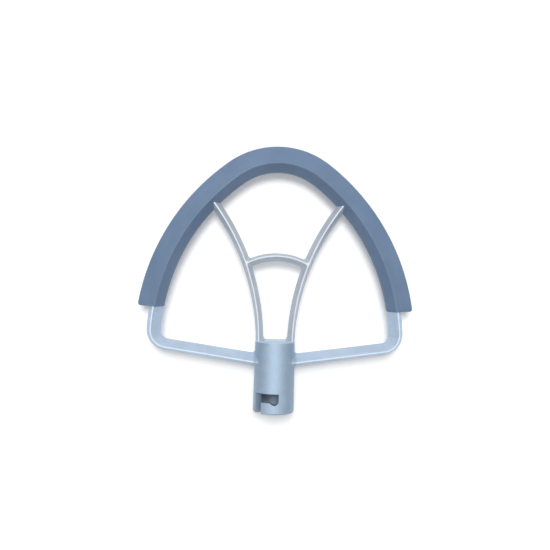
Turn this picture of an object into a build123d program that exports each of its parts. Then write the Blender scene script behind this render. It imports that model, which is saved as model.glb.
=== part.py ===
from build123d import *
import math
import os

# Flat beater for a stand mixer: one metal casting with a soft scraping edge moulded round its arch.
# It lies on its back. The hub axis is Y, the mouth of the hub is at Y = 0 and the nose of the arch
# points along +Y. Z is the thickness of the casting, which is the same in front and behind.

# Hub, a slightly tapered barrel with a blind bore for the mixer shaft
hub_mouth_diameter = 21.0
hub_top_diameter = 20.2
hub_length = 36.2
hub_edge_bevel = 0.5
bore_diameter = 12.9
bore_depth = 30.0

# Bayonet slot in the front of the hub: the shaft's cross pin enters at the mouth, turns and drops back
pin_slot_width = 4.5
pin_slot_turn = 52.0
pin_slot_floor = 5.8
pin_seat_drop = 1.2
pin_slot_corner = 0.8

# Rim of the casting, given on its centre line: two long side arcs and one nose arc
rim_half_span = 62.2
rim_nose_height = 126.0
rim_nose_radius = 33.6
rim_side_radius = 103.7
rim_step = 1.0

# Arms and posts, which are the open part of the same loop
arm_root_drop = 11.2
arm_rise_angle = 8.3
arm_root_width = 6.4
arm_root_round = 1.5
arm_width = 5.9
post_width = 7.1
strut_depth = 12.0
loop_ridge_shift = 0.9
shoulder_radius = 7.5
shoulder_height = 52.6

# Under the soft edge the rim is smaller than the posts all round
rim_width = post_width - 2 * rim_step
rim_depth = strut_depth - 2 * rim_step

# Ribs, from the top of the hub to the rim
rib_root_offset = 8.0
rib_root_depth_in_hub = 2.5
rib_radius = 117.0
rib_root_width = 3.7
rib_tip_width = 4.9
rib_depth = 8.8
rib_ridge_shift = 0.45
rib_foot_flare = 1.4
rib_foot_inset = 0.1
rib_foot_height = 2.6
rib_foot_sink = 1.0

# Crossbar between the ribs
bar_top_height = 78.9
bar_radius = 32.0
bar_width = 4.2
bar_ridge_shift = 0.5
bar_end_round = 1.5

# Every strut has a narrow crest in front and behind and a narrow land at the parting line
crest_width = 0.7
land_depth = 1.4

# Soft edge: a body round the rim with a ridge in front, a bevel inside it and a lip that thins outwards
lip_reach = 9.6
lip_tip_thickness = 1.6
lip_tip_bevel = 0.4
lip_root_thickness = 7.0
edge_proud = 1.2
edge_inner_proud = 0.15
edge_bevel_width = 3.95
edge_front_width = 3.95
edge_inner_land = 3.2


def strut_section(plane, width, depth, ridge_shift=0.0):
    """Kite with a narrow flat at all four corners: two lands on the parting line and two crests."""
    half_width = width / 2
    half_depth = depth / 2
    half_land = land_depth / 2
    half_crest = crest_width / 2
    with BuildSketch(plane) as section:
        with BuildLine():
            Polyline(
                (half_width, -half_land),
                (half_width, half_land),
                (ridge_shift + half_crest, half_depth),
                (ridge_shift - half_crest, half_depth),
                (-half_width, half_land),
                (-half_width, -half_land),
                (ridge_shift - half_crest, -half_depth),
                (ridge_shift + half_crest, -half_depth),
                close=True,
            )
        make_face()
    return section.sketch


def edge_section(plane):
    """Section of the soft edge, drawn round the centre of the rim with the lip along +X."""
    front = strut_depth / 2 + edge_proud
    inner = -post_width / 2 - edge_inner_proud
    ridge = inner + edge_bevel_width
    front_half = [
        Vector(lip_reach, lip_tip_thickness / 2 - lip_tip_bevel),
        Vector(lip_reach - lip_tip_bevel, lip_tip_thickness / 2),
        Vector(ridge + edge_front_width, lip_root_thickness / 2),
        Vector(ridge, front),
        Vector(inner, edge_inner_land / 2),
    ]
    back_half = [Vector(corner.X, -corner.Y) for corner in reversed(front_half)]
    with BuildSketch(plane) as section:
        with BuildLine():
            Polyline(*front_half, *back_half, close=True)
        make_face()
    return section.sketch


def section_plane(path, share):
    """Plane across a path: its X axis points to the right of the way along the path, its Y axis is +Z."""
    tangent = path % share
    return Plane(origin=path @ share, x_dir=tangent.cross(Vector(0, 0, 1)), z_dir=tangent * -1)


def circle_crossing(centre_a, radius_a, centre_b, radius_b):
    """Crossing of two circles, the one to the left of the way from centre_a to centre_b."""
    gap = centre_b - centre_a
    reach = (radius_a**2 - radius_b**2 + gap.length**2) / (2 * gap.length)
    half_chord = math.sqrt(radius_a**2 - reach**2)
    way = gap.normalized()
    return centre_a + way * reach + Vector(-way.Y, way.X) * half_chord


def beside_bar_end(point):
    """True if a point is within one bar width of an end of the crossbar's centre line."""
    return (Vector(abs(point.X), point.Y) - bar_end).length < bar_width


# Centres of the arcs of the rim on the right-hand side
nose_centre = Vector(0, rim_nose_height - rim_nose_radius)
nose_angle = math.asin((rim_side_radius - rim_half_span) / (rim_side_radius - rim_nose_radius))
nose_direction = Vector(math.sin(nose_angle), math.cos(nose_angle))
side_centre = nose_centre - nose_direction * (rim_side_radius - rim_nose_radius)
side_top = nose_centre + nose_direction * rim_nose_radius

# The shoulder arc touches the line of the arm and the inside of the side arc
arm_direction = Vector(math.cos(math.radians(arm_rise_angle)), math.sin(math.radians(arm_rise_angle)))
arm_normal = Vector(-arm_direction.Y, arm_direction.X)
arm_root = Vector(0, hub_length - arm_root_drop)
to_side = side_centre - arm_root
across = to_side.dot(arm_normal) - shoulder_radius
along = to_side.dot(arm_direction) + math.sqrt((rim_side_radius - shoulder_radius) ** 2 - across**2)
arm_end = arm_root + arm_direction * along
shoulder_centre = arm_end + arm_normal * shoulder_radius
shoulder_end = side_centre + (shoulder_centre - side_centre).normalized() * rim_side_radius

# The posts end just past the plane where the soft edge starts
post_end_rise = shoulder_height + post_width / 4 - side_centre.Y
post_end = side_centre + Vector(math.sqrt(rim_side_radius**2 - post_end_rise**2), post_end_rise)

# A rib's arc starts upright in the hub and ends on the centre line of the rim
rib_root = Vector(rib_root_offset, hub_length - rib_root_depth_in_hub)
rib_centre = rib_root + Vector(rib_radius, 0)
rib_tip = circle_crossing(side_centre, rim_side_radius, rib_centre, rib_radius)

# A rib's foot flares towards the middle of the hub. Its other sides are just inside the rib
foot_bottom = rib_root + Vector(-rib_foot_flare / 2, rib_root_depth_in_hub - rib_foot_sink)
foot_rise = rib_root_depth_in_hub + rib_foot_height
foot_top = rib_centre + Vector(-math.sqrt(rib_radius**2 - foot_rise**2), foot_rise)
foot_top_width = rib_root_width - 2 * rib_foot_inset
foot_bottom_width = foot_top_width + rib_foot_flare
foot_depth = rib_depth - 2 * rib_foot_inset
foot_ridge_shift = rib_ridge_shift + rib_foot_flare / 2

# The crossbar's arc ends on the centre lines of the ribs
bar_centre = Vector(0, bar_top_height - bar_radius)
bar_end = circle_crossing(bar_centre, bar_radius, rib_centre, rib_radius)

# The pin enters to the left of the front, and this points across its way in
pin_entry_side = Vector(math.cos(math.radians(pin_slot_turn)), 0, math.sin(math.radians(pin_slot_turn)))

with BuildLine() as arm_path:
    arm_line = Line(arm_root, arm_end)
    shoulder_arc = TangentArc(arm_line @ 1, shoulder_end, tangent=arm_line % 1)
    post_arc = TangentArc(shoulder_arc @ 1, post_end, tangent=shoulder_arc % 1)

with BuildLine() as rim_path:
    right_side = TangentArc(shoulder_end, side_top, tangent=shoulder_arc % 1)
    nose = TangentArc(right_side @ 1, (-side_top.X, side_top.Y), tangent=right_side % 1)
    left_side = TangentArc(nose @ 1, (-shoulder_end.X, shoulder_end.Y), tangent=nose % 1)

with BuildLine() as rib_path:
    rib_arc = TangentArc(rib_root, rib_tip, tangent=(0, 1))

with BuildLine() as foot_path:
    foot_line = Line(foot_bottom, foot_top)

with BuildLine() as bar_path:
    bar_arc = ThreePointArc(bar_end, (0, bar_top_height), (-bar_end.X, bar_end.Y))

# Arms, shoulders and posts: the section narrows along the arm and widens round the shoulder
with BuildPart() as open_loop:
    loft(
        sections=[
            strut_section(section_plane(arm_line, 0), arm_root_width, strut_depth, loop_ridge_shift),
            strut_section(section_plane(arm_line, 1), arm_width, strut_depth, loop_ridge_shift),
        ],
        ruled=True,
    )
    sweep(
        sections=[
            strut_section(section_plane(shoulder_arc, 0), arm_width, strut_depth, loop_ridge_shift),
            strut_section(section_plane(shoulder_arc, 1), post_width, strut_depth, loop_ridge_shift),
        ],
        path=shoulder_arc,
        multisection=True,
    )
    sweep(
        sections=strut_section(section_plane(post_arc, 0), post_width, strut_depth, loop_ridge_shift),
        path=post_arc,
    )
    split(bisect_by=Plane.XZ.offset(-shoulder_height), keep=Keep.TOP)
    mirror(about=Plane.YZ)

# The casting: hub, open loop, hidden rim, ribs and crossbar in one piece
with BuildPart() as beater_frame:
    with BuildSketch(Plane.XY):
        with BuildLine():
            Polyline(
                (0, 0),
                (hub_mouth_diameter / 2, 0),
                (hub_top_diameter / 2, hub_length),
                (0, hub_length),
                close=True,
            )
        make_face()
    revolve(axis=Axis.Y)
    chamfer(beater_frame.edges().filter_by(GeomType.CIRCLE), hub_edge_bevel)
    add(open_loop.part)
    hub_wall = beater_frame.faces().filter_by(GeomType.CONE).sort_by(SortBy.AREA)[-1]
    plain_edges = (GeomType.CIRCLE, GeomType.LINE)
    arm_roots = hub_wall.edges().filter_by(lambda edge: edge.geom_type not in plain_edges)
    fillet(arm_roots, arm_root_round)
    sweep(
        sections=strut_section(section_plane(right_side, 0), rim_width, rim_depth),
        path=rim_path.line,
    )
    rib = sweep(
        sections=[
            strut_section(section_plane(rib_arc, 0), rib_root_width, rib_depth, rib_ridge_shift),
            strut_section(section_plane(rib_arc, 1), rib_tip_width, rib_depth),
        ],
        path=rib_path.line,
        multisection=True,
    )
    rib_foot = loft(
        sections=[
            strut_section(section_plane(foot_line, 0), foot_bottom_width, foot_depth, foot_ridge_shift),
            strut_section(section_plane(foot_line, 1), foot_top_width, foot_depth, rib_ridge_shift),
        ],
        ruled=True,
    )
    mirror([rib, rib_foot], about=Plane.YZ)
    sweep(
        sections=strut_section(section_plane(bar_arc, 0), bar_width, rib_depth, bar_ridge_shift),
        path=bar_path.line,
    )
    free_edges = beater_frame.edges().filter_by(GeomType.BSPLINE)
    short_edges = free_edges.filter_by(lambda edge: edge.length < rib_depth)
    fillet(short_edges.filter_by(lambda edge: beside_bar_end(edge.center())), bar_end_round)
    # Blind bore
    with BuildSketch(Plane.XZ):
        Circle(bore_diameter / 2)
    extrude(amount=-bore_depth, mode=Mode.SUBTRACT)
    # Pin seat at the front, the turn beside it and the way in from the mouth
    with BuildSketch(Plane.XY):
        with Locations((0, pin_slot_floor - pin_seat_drop + pin_slot_width / 2)):
            Circle(pin_slot_width / 2)
        with Locations((0, pin_slot_floor + pin_slot_width)):
            Rectangle(pin_slot_width, pin_slot_width / 2 + pin_seat_drop, align=(Align.CENTER, Align.MAX))
    extrude(amount=hub_mouth_diameter, mode=Mode.SUBTRACT)
    with BuildSketch(Plane((0, 0, 0), x_dir=(0, 1, 0), z_dir=pin_entry_side)):
        with Locations((pin_slot_floor, 0)):
            Rectangle(pin_slot_width, hub_mouth_diameter, align=Align.MIN)
    revolve(axis=Axis.Y, revolution_arc=pin_slot_turn, mode=Mode.SUBTRACT)
    with BuildSketch(Plane((0, 0, 0), x_dir=pin_entry_side, z_dir=(0, -1, 0))):
        Rectangle(pin_slot_width, hub_mouth_diameter, align=(Align.CENTER, Align.MIN))
    extrude(amount=-(pin_slot_floor + pin_slot_width), mode=Mode.SUBTRACT)
    upright_edges = beater_frame.edges().filter_by(Axis.Z)
    slot_walls = upright_edges.filter_by_position(Axis.X, -pin_slot_width, pin_slot_width)
    fillet(slot_walls.sort_by(Axis.X)[0], pin_slot_corner)

beater_frame.part.label = "beater_frame"

# The soft edge is moulded round the rim, so the casting is cut out of it
with BuildPart() as flex_edge:
    sweep(sections=edge_section(section_plane(right_side, 0)), path=rim_path.line)
    split(bisect_by=Plane.XZ.offset(-shoulder_height), keep=Keep.BOTTOM)
    add(beater_frame.part, mode=Mode.SUBTRACT)

flex_edge.part.label = "flex_edge"

os.makedirs("parts", exist_ok=True)
for piece in (beater_frame.part, flex_edge.part):
    export_step(piece, f"parts/{piece.label}.step")
    print(piece.label, piece.is_valid, round(piece.volume), len(piece.solids()), piece.bounding_box())
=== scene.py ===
# %% [markdown]
# # A flat beater with a soft edge
# This beater is one casting with a hub, two arms, an arch, two ribs and a crossbar. A silicone edge
# is moulded round its arch and wipes the bowl. Both come in as exact solids, so this lesson adds
# what solids lack: the rounds of the silicone, both finishes, the light and the camera.

import math

import bpy
import numpy as np
from mathutils import Euler, Matrix, Vector


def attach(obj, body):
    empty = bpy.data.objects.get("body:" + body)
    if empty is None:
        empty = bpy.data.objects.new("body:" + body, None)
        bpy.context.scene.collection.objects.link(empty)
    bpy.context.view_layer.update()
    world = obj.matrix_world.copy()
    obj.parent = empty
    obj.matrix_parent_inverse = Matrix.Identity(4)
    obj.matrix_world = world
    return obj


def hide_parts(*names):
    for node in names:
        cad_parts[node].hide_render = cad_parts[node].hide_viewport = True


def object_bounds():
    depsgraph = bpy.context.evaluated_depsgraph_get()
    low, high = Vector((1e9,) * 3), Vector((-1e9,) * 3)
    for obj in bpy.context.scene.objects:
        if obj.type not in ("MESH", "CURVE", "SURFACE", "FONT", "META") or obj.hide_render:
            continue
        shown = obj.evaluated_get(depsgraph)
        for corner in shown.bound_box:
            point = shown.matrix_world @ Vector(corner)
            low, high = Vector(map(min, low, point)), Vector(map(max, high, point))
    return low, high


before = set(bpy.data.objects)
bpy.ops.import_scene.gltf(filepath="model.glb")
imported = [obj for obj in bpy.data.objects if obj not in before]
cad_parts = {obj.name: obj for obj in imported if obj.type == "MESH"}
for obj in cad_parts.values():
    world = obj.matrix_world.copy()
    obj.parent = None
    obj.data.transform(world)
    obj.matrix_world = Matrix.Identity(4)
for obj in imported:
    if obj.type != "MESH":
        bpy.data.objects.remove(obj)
cad_low, cad_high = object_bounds()
mm = 0.001
cad_size = [round(v / mm, 1) for v in cad_high - cad_low]
print("nodes", sorted(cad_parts), "box in mm", cad_size)

# %% [markdown]
# ## Camera
# The photograph was taken from almost straight above, with the beater turned a little clockwise.
# Matching some sixty points on the outline to the model gave the camera's place, its lean and its
# focal length, and those few numbers are all that is needed here. A matrix built from the lean is
# easier to trust than a camera that tracks a target, because it also carries the roll.

# %% Camera
camera_place = Vector((-12.2, 71.3, 339.8)) * mm
lean_forward, lean_aside, roll = (math.radians(angle) for angle in (0.25, 1.9, -1.51))
sensor_width, focal_length = 36.0, 43.39
camera_data = bpy.data.cameras.new("overhead_camera")
camera_data.sensor_width = sensor_width
camera_data.lens = focal_length
camera = bpy.data.objects.new("overhead_camera", camera_data)
bpy.context.scene.collection.objects.link(camera)
object_turn = Euler((lean_forward, lean_aside, roll), "XYZ").to_matrix()
camera.matrix_world = Matrix.Translation(camera_place) @ object_turn.transposed().to_4x4()
bpy.context.scene.camera = camera
print("camera at", [round(v, 4) for v in camera.location], "focal length in mm", focal_length)

# %% [markdown]
# ## Helpers
# Every finish below is a small tree of nodes. One helper makes a node, sets its sockets and links
# its inputs, so that a tree reads from top to bottom like a list. Two more do sums with numbers or
# with what other nodes give, and the last one puts an array of points into a mesh.


# %% Helpers
def add_node(tree, kind, inputs=(), **settings):
    """Makes a node, sets its properties, then sets or links each (socket, value) of inputs."""
    made = tree.nodes.new(kind)
    for name, value in settings.items():
        setattr(made, name, value)
    for socket, value in inputs:
        if isinstance(value, bpy.types.NodeSocket):
            tree.links.new(value, made.inputs[socket])
        else:
            made.inputs[socket].default_value = value
    return made


def compute(tree, operation, *values):
    """One arithmetic node on numbers or sockets."""
    return add_node(tree, "ShaderNodeMath", enumerate(values), operation=operation).outputs[0]


def change(tree, value, start, end, low=0.0, high=1.0):
    """Value that goes from low to high while the given one goes from start to end."""
    limits = [("From Min", start), ("From Max", end), ("To Min", low), ("To Max", high)]
    return add_node(tree, "ShaderNodeMapRange", [("Value", value), *limits]).outputs[0]


def new_finish(name):
    """Empty node material and its output node."""
    finish = bpy.data.materials.new(name)
    finish.use_nodes = True
    finish.node_tree.nodes.clear()
    output = finish.node_tree.nodes.new("ShaderNodeOutputMaterial")
    return finish, finish.node_tree, output


def seen_directly(tree):
    """Socket that is 1 for camera, glossy and transmission rays, 0 for the rays of soft light."""
    rays = add_node(tree, "ShaderNodeLightPath").outputs
    seen = compute(tree, "MAXIMUM", rays["Is Camera Ray"], rays["Is Glossy Ray"])
    return compute(tree, "MAXIMUM", seen, rays["Is Transmission Ray"])


def put_mesh(name, points, faces):
    """Mesh object at the origin from an (n, 3) array of points in metres and a list of faces."""
    mesh = bpy.data.meshes.new(name)
    mesh.from_pydata(points.tolist(), [], faces)
    mesh.update()
    made = bpy.data.objects.new(name, mesh)
    bpy.context.scene.collection.objects.link(made)
    return made


print("helpers ready")

# %% [markdown]
# ## Floor
# The beater lies on its back: the hub touches the table, and so does the back of the soft edge,
# which is thinner than the hub. The floor is therefore one plane through the hub's back and the
# edge's back. It is white, and Light Path lifts it to paper white for the camera and for
# reflections, while its diffuse part still takes the shadow.

# %% Floor
hub_back = np.array([0.0, -10.5]) * mm
edge_back = np.array([124.0, -7.2]) * mm
floor_slope = (edge_back[1] - hub_back[1]) / (edge_back[0] - hub_back[0])
floor_reach = 1.5
paper_colour = (0.88, 0.88, 0.88, 1.0)
paper_lift = 0.2


def floor_height(y):
    """Height of the plane that touches the back of the hub and the back of the soft edge."""
    return hub_back[1] + floor_slope * (y - hub_back[0])


corner_x, corner_y = np.meshgrid([-floor_reach, floor_reach], [-floor_reach, floor_reach])
floor_points = np.stack([corner_x, corner_y, floor_height(corner_y)], axis=-1).reshape(-1, 3)
floor = put_mesh("floor", floor_points, [(0, 1, 3, 2)])

paper, tree, output = new_finish("paper_floor")
lift = compute(tree, "MULTIPLY", seen_directly(tree), paper_lift)
matt = add_node(tree, "ShaderNodeBsdfDiffuse", [("Color", paper_colour)])
glow = add_node(tree, "ShaderNodeEmission", [("Strength", lift)])
both = add_node(tree, "ShaderNodeAddShader", [(0, matt.outputs[0]), (1, glow.outputs[0])])
tree.links.new(both.outputs[0], output.inputs["Surface"])
floor.data.materials.append(paper)
print("floor slope in degrees", round(math.degrees(math.atan(floor_slope)), 2))

# %% [markdown]
# ## Light
# The photograph has soft daylight from above that leans towards the nose of the arch, so the beater
# throws short shadows towards its hub. One distant lamp with a wide disc does that: it lights the
# floor evenly, however far the floor goes, where a near lamp would leave its far end grey. An even
# white surround fills the rest. Both are kept at a plain level, at which a colour comes out about
# as it is written.

# %% Light
white = (1.0, 1.0, 1.0, 1.0)
fill_level, seen_level = 0.4, 1.0
world = bpy.data.worlds.new("white_surround")
bpy.context.scene.world = world
world.use_nodes = True
tree = world.node_tree
tree.nodes.clear()
level = change(tree, seen_directly(tree), 0.0, 1.0, fill_level, seen_level)
surround = add_node(tree, "ShaderNodeBackground", [("Color", white), ("Strength", level)])
sky = tree.nodes.new("ShaderNodeOutputWorld")
tree.links.new(surround.outputs[0], sky.inputs["Surface"])

part_middle = Vector((0.0, 65.0, 0.0)) * mm
lamp_offset = Vector((-30.0, 255.0, 700.0)) * mm
lamp_energy, lamp_disc = 2.16, math.radians(24.0)
lamp_data = bpy.data.lights.new("daylight_lamp", "SUN")
lamp_data.energy = lamp_energy
lamp_data.angle = lamp_disc
lamp = bpy.data.objects.new("daylight_lamp", lamp_data)
bpy.context.scene.collection.objects.link(lamp)
lamp.location = part_middle + lamp_offset
lamp.rotation_euler = (part_middle - lamp.location).to_track_quat("-Z", "Y").to_euler()
bpy.context.scene.view_settings.view_transform = "Standard"
print("lamp at", [round(v, 3) for v in lamp.location])

# %% [markdown]
# Metal looks like metal only when it has something dark to reflect. Photographers stand grey cards
# round a piece for that. This ring of card stands round the part and is open towards the nose,
# where the light comes from. Only reflections see it, so it shades the flanks of the hub and the
# struts, and it shows in no view.

# %% Grey card
card_radius, card_steps = 0.5, 40
card_heights = np.array([-0.012, 0.28])
card_gap = math.radians(50.0)
card_grey = (0.20, 0.22, 0.25, 1.0)


def card_ring(angle, height):
    """Open ring about the middle of the part: one arc of the same radius at each height."""
    around, up = np.meshgrid(angle, height, indexing="ij")
    x = card_radius * np.sin(around)
    y = card_radius * np.cos(around) + part_middle.y
    return np.stack([x, y, up], axis=-1)


card_angles = np.linspace(card_gap, 2 * np.pi - card_gap, card_steps)
card_grid = card_ring(card_angles, card_heights)
before = 2 * np.arange(card_steps - 1)
card_faces = np.stack([before, before + 2, before + 3, before + 1], axis=-1)
card = put_mesh("grey_card", card_grid.reshape(-1, 3), card_faces.tolist())
for ray in ("camera", "diffuse", "shadow", "transmission", "volume_scatter"):
    setattr(card, f"visible_{ray}", False)
card_finish, tree, output = new_finish("grey_card")
flat = add_node(tree, "ShaderNodeEmission", [("Color", card_grey), ("Strength", 1.0)])
tree.links.new(flat.outputs[0], output.inputs["Surface"])
card.data.materials.append(card_finish)
print("grey card", len(card_faces), "faces")

# %% [markdown]
# ## Soft edge
# The real edge is moulded silicone, so every corner of its section is rounded, and a thin lip
# stands out all round it. The solid has that section with plain corners. Here the same section gets
# its rounds and is carried along the same arch: two long side arcs and a short nose arc. Each point
# of the section runs on arcs of its own radius, which gives exact offsets, and each line starts
# where the arch is cut level. All sizes are in millimetres until the mesh is made.

# %% Section of the soft edge
# Front half, as offset outwards and height: tip of the lip, foot of the lip, ridge, inner edge.
front_corners = np.array([[9.6, 0.58], [4.2, 3.5], [0.25, 7.2], [-3.7, 1.6]])
front_rounds = np.array([0.8, 8.0, 0.6, 0.5])
edge_corners = np.concatenate([front_corners, front_corners[::-1] * [1, -1]])
edge_rounds = np.concatenate([front_rounds, front_rounds[::-1]])
round_steps, flat_margin = 9, 0.06


def rounded_section(corners, radii, steps, margin):
    """Closed outline with rounded corners, as an array of points, and the outward normal at each.

    At a corner with sides along a and b, the arc's centre is on the line that halves the corner, at
    radius / sin(half angle), and the arc turns from the foot of one side to the foot of the other.
    One more point on each side, a margin past the arc, keeps the flats flat when the mesh is shaded
    smooth.
    """
    to_last = np.roll(corners, 1, axis=0) - corners
    to_next = np.roll(corners, -1, axis=0) - corners
    a = to_last / np.linalg.norm(to_last, axis=1, keepdims=True)
    b = to_next / np.linalg.norm(to_next, axis=1, keepdims=True)
    half = np.arccos((a * b).sum(axis=1)) / 2
    middle = (a + b) / np.linalg.norm(a + b, axis=1, keepdims=True)
    centre = corners + middle * (radii / np.sin(half))[:, None]
    bow = (np.pi / 2 - half)[:, None] * np.linspace(-1, 1, steps)[None, :]
    side = np.sign(a[:, 0] * b[:, 1] - a[:, 1] * b[:, 0])
    across = np.stack([-middle[:, 1], middle[:, 0]], axis=1) * side[:, None]
    outward = np.sin(bow)[..., None] * across[:, None, :]
    outward = outward - np.cos(bow)[..., None] * middle[:, None, :]
    arc = centre[:, None, :] + radii[:, None, None] * outward
    first = arc[:, :1] + a[:, None, :] * margin
    last = arc[:, -1:] + b[:, None, :] * margin
    points = np.concatenate([first, arc, last], axis=1)
    normals = np.concatenate([outward[:, :1], outward, outward[:, -1:]], axis=1)
    normals = normals * -side[:, None, None]
    return points.reshape(-1, 2), normals.reshape(-1, 2)


edge_outline, edge_normals = rounded_section(edge_corners, edge_rounds, round_steps, flat_margin)
edge_width = round(float(np.ptp(edge_outline[:, 0])), 2)
print("section points", len(edge_outline), "width in mm", edge_width)

# %% [markdown]
# The arch is given by five numbers of the solid. A point of the section that stands out by an
# offset runs on a circle of the side radius plus that offset, up to the nose, and then on a circle
# of the nose radius plus that offset. The ends are cut level, so a line with a larger radius starts
# at a smaller angle.

# %% Arch of the soft edge
half_span, nose_height, nose_radius, side_radius, cut_height = 62.2, 126.0, 33.6, 103.7, 52.6
middles_apart = side_radius - nose_radius
nose_turn = math.asin((side_radius - half_span) / middles_apart)
nose_start = math.pi / 2 - nose_turn
nose_middle = np.array([0.0, nose_height - nose_radius])
side_middle = nose_middle - middles_apart * np.array([math.sin(nose_turn), math.cos(nose_turn)])
end_round, corner_round = 0.3, 1.6
lip_foot = front_corners[1, 0]


def side_arc(section, normals, share):
    """Right-hand side of the edge: a row of points for each share of the way from cut to nose.

    Each section point moves on a circle about the middle of the side arc, from the angle where that
    circle crosses the cut to the angle where the nose begins. Close to the cut the section shrinks
    along its normals by a quarter circle, which rounds the end, and the lip draws in by a larger
    quarter circle.
    """
    rise = cut_height - side_middle[1]
    length = side_radius * (nose_start - math.asin(rise / side_radius))
    gap = share * length
    end_left = np.clip(1 - gap / end_round, 0, 1)
    corner_left = np.clip(1 - gap / corner_round, 0, 1)
    shrink = end_round * (1 - np.sqrt(1 - end_left**2))
    draw = corner_round * (1 - np.sqrt(1 - corner_left**2))
    lip_share = np.clip((section[:, 0] - lip_foot) / (section[:, 0].max() - lip_foot), 0, 1)
    out = section[None, :, 0] - shrink[:, None] * normals[None, :, 0]
    out = out - draw[:, None] * lip_share[None, :]
    up = section[None, :, 1] - shrink[:, None] * normals[None, :, 1]
    radius = side_radius + out
    first = np.arcsin(rise / radius)
    angle = first + share[:, None] * (nose_start - first)
    x = side_middle[0] + radius * np.cos(angle)
    y = side_middle[1] + radius * np.sin(angle)
    return np.stack([x, y, up], axis=-1)


def nose_arc(section, share):
    """Nose of the edge: the section turned about the middle of the nose, from right to left."""
    angle = nose_turn * (1 - 2 * share)[:, None]
    radius = nose_radius + section[None, :, 0]
    x = radius * np.sin(angle)
    y = nose_middle[1] + radius * np.cos(angle)
    up = np.broadcast_to(section[None, :, 1], x.shape)
    return np.stack([x, y, up], axis=-1)


# The first rows, in sixtieths of the side, stand close together to draw the rounded end.
end_rows = np.array([0, 0.02, 0.06, 0.12, 0.2, 0.3, 0.45, 0.65, 0.9, 1.25, 1.6, 2.2]) / 60.0
even_start, even_rows, nose_rows = 0.05, 70, 60
side_share = np.concatenate([end_rows, np.linspace(even_start, 1.0, even_rows)])
right = side_arc(edge_outline, edge_normals, side_share)
nose = nose_arc(edge_outline, np.linspace(0, 1, nose_rows + 2)[1:-1])
left = right[::-1] * np.array([-1.0, 1.0, 1.0])
edge_grid = np.concatenate([right, nose, left])
print("grid of the soft edge", edge_grid.shape[:2])

# %% [markdown]
# A grid becomes a skin when each cell is a face. The section is closed, so its last point meets its
# first, and each end is closed by a ladder of faces between the front half and the back half of the
# section. The sign of the enclosed volume tells whether the faces point outwards.


# %% Skin of the soft edge
def tube_faces(rows, columns):
    """Four-sided faces of a grid whose columns close on themselves, with a ladder on both ends."""
    row, column = np.meshgrid(np.arange(rows - 1), np.arange(columns), indexing="ij")
    here = row * columns + column
    beside = row * columns + (column + 1) % columns
    wall = np.stack([here, beside, beside + columns, here + columns], axis=-1)
    step = np.arange(columns // 2 - 1)
    ladder = np.stack([step, columns - 1 - step, columns - 2 - step, step + 1], axis=-1)
    far = ladder[:, ::-1] + (rows - 1) * columns
    return np.concatenate([wall.reshape(-1, 4), ladder, far])


def enclosed_volume(points, faces):
    """Volume inside a closed skin: the sum of the signed pyramids from the origin to each face."""
    a, b, c, d = (points[faces[:, k]] for k in range(4))
    return float((np.cross(a, b) * c).sum() + (np.cross(a, c) * d).sum()) / 6


edge_points = edge_grid.reshape(-1, 3) * mm
edge_faces = tube_faces(*edge_grid.shape[:2])
if enclosed_volume(edge_points, edge_faces) < 0:
    edge_faces = edge_faces[:, ::-1]
soft_edge = put_mesh("soft_edge", edge_points, edge_faces.tolist())
soft_edge.data.shade_smooth()
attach(soft_edge, "root")
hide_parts("flex_edge")
print("soft edge volume in mm3", round(enclosed_volume(edge_points, edge_faces) / mm**3))

# %% [markdown]
# ## Silicone
# Silicone is matt and slightly milky, and its slate blue drifts a little along the moulding. A wide
# noise moves the colour, a fine one gives the grain of the mould, and the gloss stays low. Most
# values of a noise are near its middle, so the colour changes over that middle span alone.

# %% Silicone
noise_span = (0.3, 0.7)
slate_tones = (0.127, 0.194, 0.311), (0.153, 0.229, 0.350)
slate_roughness = (0.46, 0.58)
grain_strength = 0.2


def noise(tree, place, scale, detail):
    """Value from 0 to 1 that varies with the place, the faster the larger the scale."""
    inputs = [("Vector", place), ("Scale", scale), ("Detail", detail)]
    return add_node(tree, "ShaderNodeTexNoise", inputs).outputs["Fac"]


def two_tones(tree, share, first, second):
    """Colour that goes from the first tone to the second as a noise crosses its middle span."""
    ramp = add_node(tree, "ShaderNodeValToRGB", [("Fac", share)])
    for element, position, tone in zip(ramp.color_ramp.elements, noise_span, (first, second)):
        element.position = position
        element.color = (*tone, 1.0)
    return ramp.outputs["Color"]


silicone, tree, output = new_finish("slate_silicone")
place = add_node(tree, "ShaderNodeTexCoord").outputs["Object"]
drift = noise(tree, place, scale=55.0, detail=3.0)
grain = noise(tree, place, scale=4200.0, detail=2.0)
relief = [("Strength", grain_strength), ("Distance", 0.05 * mm), ("Height", grain)]
milky_skin = [
    ("Base Color", two_tones(tree, drift, *slate_tones)),
    ("Roughness", change(tree, drift, 0.0, 1.0, *slate_roughness)),
    ("Normal", add_node(tree, "ShaderNodeBump", relief).outputs[0]),
    ("Specular IOR Level", 0.4),
    ("Subsurface Weight", 0.1),
    ("Subsurface Radius", (1.0, 1.0, 1.0)),
    ("Subsurface Scale", 2.0 * mm),
]
skin = add_node(tree, "ShaderNodeBsdfPrincipled", milky_skin)
tree.links.new(skin.outputs[0], output.inputs["Surface"])
soft_edge.data.materials.append(silicone)
print("finish", silicone.name, "nodes", len(tree.nodes))
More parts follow.
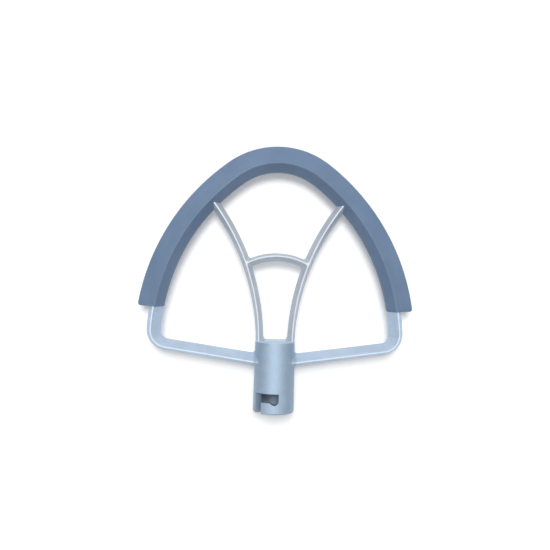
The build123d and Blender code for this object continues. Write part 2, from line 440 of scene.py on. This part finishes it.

# %% [markdown]
# ## Cast metal
# The casting has a satin silver coat. Arms and posts are a light blue grey, ribs and crossbar a
# plainer grey. The hub is given darker tones, a painted shade over the whole hub, and the wall of
# its bore is darker still, a painted shade in that recess. The place on the casting tells these
# regions apart: each limit below is a pair of places, in metres, between which one region goes
# over into the next.
# region goes over into the next.

# %% Regions of the casting
arm_tones = (0.505, 0.602, 0.715), (0.565, 0.670, 0.792)
rib_tones = (0.515, 0.56, 0.615), (0.575, 0.625, 0.68)
# The hub's tones are bluer than the arms', and darker by a painted shade.
hub_tones_painted_shade = (0.345, 0.440, 0.545), (0.384, 0.489, 0.606)
hub_end, hub_flank = (0.0355, 0.0359), (0.0102, 0.0114)
rib_foot, rib_flank = (0.0361, 0.0367), (0.054, 0.050)
# Painted shade: within these radii from the hub's axis the colour is scaled down, darkening the
# bore wall.
bore_radii_painted_shade, bore_painted_shade = (0.0066, 0.0090), 0.66
across_axis = (1.0, 0.0, 1.0)


def mix_tones(tree, share, first, second):
    """Colour that goes from the first to the second as the share goes from 0 to 1.

    The Mix node has sockets for every kind of value: its colours go in at 6 and 7, and out at 2.
    """
    inputs = [(0, share), (6, first), (7, second)]
    return add_node(tree, "ShaderNodeMix", inputs, data_type="RGBA").outputs[2]


silver, tree, output = new_finish("satin_silver_coat")
place = add_node(tree, "ShaderNodeTexCoord").outputs["Object"]
place_x, place_y, _ = add_node(tree, "ShaderNodeSeparateXYZ", [(0, place)]).outputs
beside_axis = compute(tree, "ABSOLUTE", place_x)
past_hub = change(tree, place_y, *hub_end)
# Mask of the painted hub shade: 0 on the hub, 1 past its end or beyond its flanks.
off_hub_painted_shade = compute(tree, "MAXIMUM", past_hub, change(tree, beside_axis, *hub_flank))
on_rib = change(tree, beside_axis, *rib_flank)
on_rib = compute(tree, "MULTIPLY", on_rib, change(tree, place_y, *rib_foot))
sideways = [(0, place), (1, across_axis)]
sideways = add_node(tree, "ShaderNodeVectorMath", sideways, operation="MULTIPLY").outputs[0]
from_axis = add_node(tree, "ShaderNodeVectorMath", [(0, sideways)], operation="LENGTH")
# Mask of the painted bore shade: 0 on the bore wall, 1 outside it and past the hub.
off_bore_painted_shade = change(tree, from_axis.outputs["Value"], *bore_radii_painted_shade)
off_bore_painted_shade = compute(tree, "MAXIMUM", past_hub, off_bore_painted_shade)
cloud = noise(tree, place, scale=160.0, detail=4.0)
blue_grey = two_tones(tree, cloud, *arm_tones)
plain_grey = two_tones(tree, cloud, *rib_tones)
hub_blue_painted_shade = two_tones(tree, cloud, *hub_tones_painted_shade)
tone = mix_tones(tree, on_rib, blue_grey, plain_grey)
# Here the hub takes its darker tones, which are painted shade.
tone = mix_tones(tree, off_hub_painted_shade, hub_blue_painted_shade, tone)
print("nodes for the regions", len(tree.nodes))

# %% [markdown]
# The casting was blasted first and then coated, so it reflects softly and has a fine grain. Such a
# coat is metal flake in a clear binder, so it is set a little less than fully metallic, and the
# grain also makes it sparkle a little. A bevel node softens every sharp corner.

# %% Satin silver coat
flake_span, satin_span = (0.94, 1.06), (0.61, 0.71)
corner_radius, corner_samples = 0.4 * mm, 6
grain = noise(tree, place, scale=2200.0, detail=3.0)
flake = change(tree, grain, *noise_span, *flake_span)
# The flake of the grain is the coat's own; the darkening of the bore wall in this product is
# painted shade.
shade = compute(tree, "MULTIPLY", flake, change(tree, off_bore_painted_shade, 0.0, 1.0, bore_painted_shade, 1.0))
shaded = [(0, tone), ("Scale", shade)]
shaded = add_node(tree, "ShaderNodeVectorMath", shaded, operation="SCALE")
corner = add_node(tree, "ShaderNodeBevel", [("Radius", corner_radius)], samples=corner_samples)
relief = [("Strength", grain_strength), ("Distance", 0.04 * mm), ("Height", grain)]
relief.append(("Normal", corner.outputs[0]))
flake_coat = [
    ("Base Color", shaded.outputs[0]),
    ("Metallic", 0.75),
    ("Roughness", change(tree, cloud, 0.0, 1.0, *satin_span)),
    ("Normal", add_node(tree, "ShaderNodeBump", relief).outputs[0]),
]
coat = add_node(tree, "ShaderNodeBsdfPrincipled", flake_coat)
tree.links.new(coat.outputs[0], output.inputs["Surface"])
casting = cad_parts["beater_frame"]
casting.data.materials.clear()
casting.data.materials.append(silver)
print("finish", silver.name, "on", casting.name, "nodes", len(tree.nodes))
